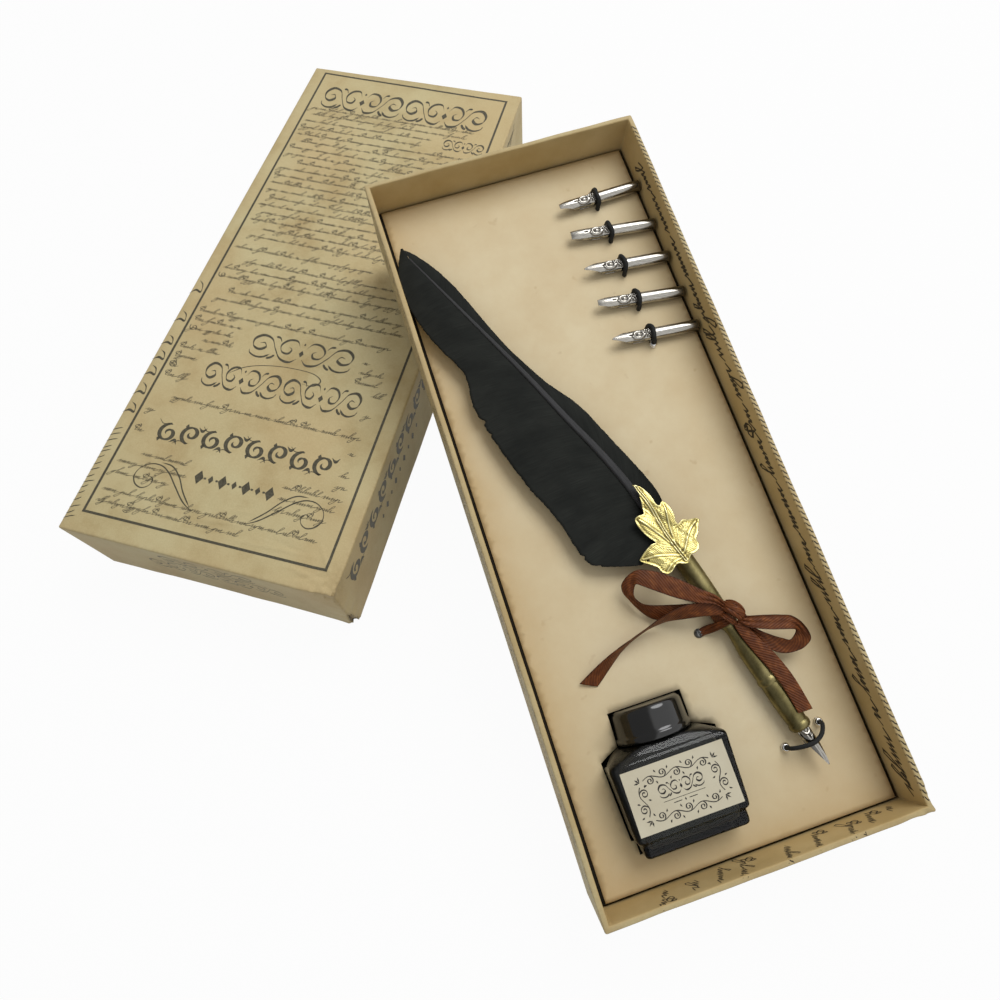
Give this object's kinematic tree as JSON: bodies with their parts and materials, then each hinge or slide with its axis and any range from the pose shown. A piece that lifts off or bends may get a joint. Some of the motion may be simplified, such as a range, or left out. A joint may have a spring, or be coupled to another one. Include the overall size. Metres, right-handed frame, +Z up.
{
  "type": "calligraphy set box",
  "caption": "Open rigid gift box with a foam insert that holds a feather pen tied with a ribbon bow, spare pen nibs under elastic loops and a square ink bottle, leaning on its lid.",
  "frame": {"origin": "on the table, under the middle of the whole set's box", "axes": "+Z up from the table, +Y along the lid's length towards its far end, +X from the lid to the tray's near corner"},
  "size_m": [0.3562, 0.3886, 0.099],
  "materials": {
    "wrap_paper": "matte",
    "grey_board": "matte",
    "stay_tape": "matte",
    "lining_paper": "matte",
    "foam": "matte",
    "parchment_card": "matte",
    "black_elastic": "matte",
    "nickel": "gloss",
    "steel": "satin",
    "nib_steel": "polished",
    "antique_brass": "satin",
    "gold": "polished",
    "quill": "satin",
    "feather": "matte",
    "ribbon": "matte",
    "dark_glass": "gloss",
    "ink": "gloss",
    "label_paper": "satin",
    "cap_plastic": "gloss",
    "liner_board": "matte"
  },
  "bodies": {
    "lid": {"lid_board": "grey_board", "lid_wrap": "wrap_paper", "lid_corner_stays": "stay_tape", "lid_lining": "lining_paper"},
    "tray": {"tray_board": "grey_board", "tray_wrap": "wrap_paper", "tray_corner_stays": "stay_tape", "tray_lining": "lining_paper"},
    "insert": {"foam_base": "foam", "foam_top": "foam", "insert_card": "parchment_card", "nib_elastic_1": "black_elastic", "nib_elastic_2": "black_elastic", "nib_elastic_3": "black_elastic", "nib_elastic_4": "black_elastic", "nib_elastic_5": "black_elastic", "pen_elastic": "black_elastic", "elastic_crimps": "steel", "elastic_ferrules": "nickel", "ribbon_eyelet": "steel", "pen_barrel": "antique_brass", "pen_collet": "steel", "feather_shaft": "quill", "feather_vane_wide": "feather", "feather_vane_narrow": "feather", "leaf_ornament": "gold", "ribbon_turns": "ribbon", "ribbon_knot": "ribbon", "ribbon_loop_left": "ribbon", "ribbon_loop_right": "ribbon", "ribbon_tail_left": "ribbon", "ribbon_tail_right": "ribbon", "ribbon_anchor": "ribbon"},
    "bottle": {"bottle_glass": "dark_glass", "bottle_ink": "ink", "bottle_label": "label_paper"},
    "cap": {"bottle_cap": "cap_plastic", "cap_liner": "liner_board"},
    "pen_point": {"pen_nib": "nib_steel"},
    "nib_1": {"spare_nib_1": "nib_steel"},
    "nib_2": {"spare_nib_2": "nib_steel"},
    "nib_3": {"spare_nib_3": "nib_steel"},
    "nib_4": {"spare_nib_4": "nib_steel"},
    "nib_5": {"spare_nib_5": "nib_steel"}
  },
  "joints": [
    {"name": "tray_lift", "type": "slide", "parent": "lid", "child": "tray", "axis": [0, 0, 1], "range_m": [0, 0.12]},
    {"name": "insert_lift", "type": "slide", "parent": "tray", "child": "insert", "axis": [0.1032, -0.1589, 0.9819], "range_m": [0, 0.045]},
    {"name": "bottle_lift", "type": "slide", "parent": "insert", "child": "bottle", "axis": [0.1032, -0.1589, 0.9819], "range_m": [0, 0.06]},
    {"name": "cap_turn", "type": "hinge", "parent": "bottle", "child": "cap", "pos_m": [0.07874, -0.12201, 0.03444], "axis": [-0.5348, 0.8235, 0.1895], "range_deg": [0, 540]},
    {"name": "pen_nib_pull", "type": "slide", "parent": "insert", "child": "pen_point", "axis": [0.7287, -0.6599, -0.1834], "range_m": [0, 0.012]},
    {"name": "nib_pull_1", "type": "slide", "parent": "insert", "child": "nib_1", "axis": [-0.8244, -0.566, -0.005], "range_m": [0, 0.024]},
    {"name": "nib_pull_2", "type": "slide", "parent": "insert", "child": "nib_2", "axis": [-0.8991, -0.4371, 0.0238], "range_m": [0, 0.024]},
    {"name": "nib_pull_3", "type": "slide", "parent": "insert", "child": "nib_3", "axis": [-0.89, -0.4556, 0.0198], "range_m": [0, 0.024]},
    {"name": "nib_pull_4", "type": "slide", "parent": "insert", "child": "nib_4", "axis": [-0.9028, -0.4294, 0.0254], "range_m": [0, 0.024]},
    {"name": "nib_pull_5", "type": "slide", "parent": "insert", "child": "nib_5", "axis": [-0.89, -0.4556, 0.0198], "range_m": [0, 0.024]}
  ]
}
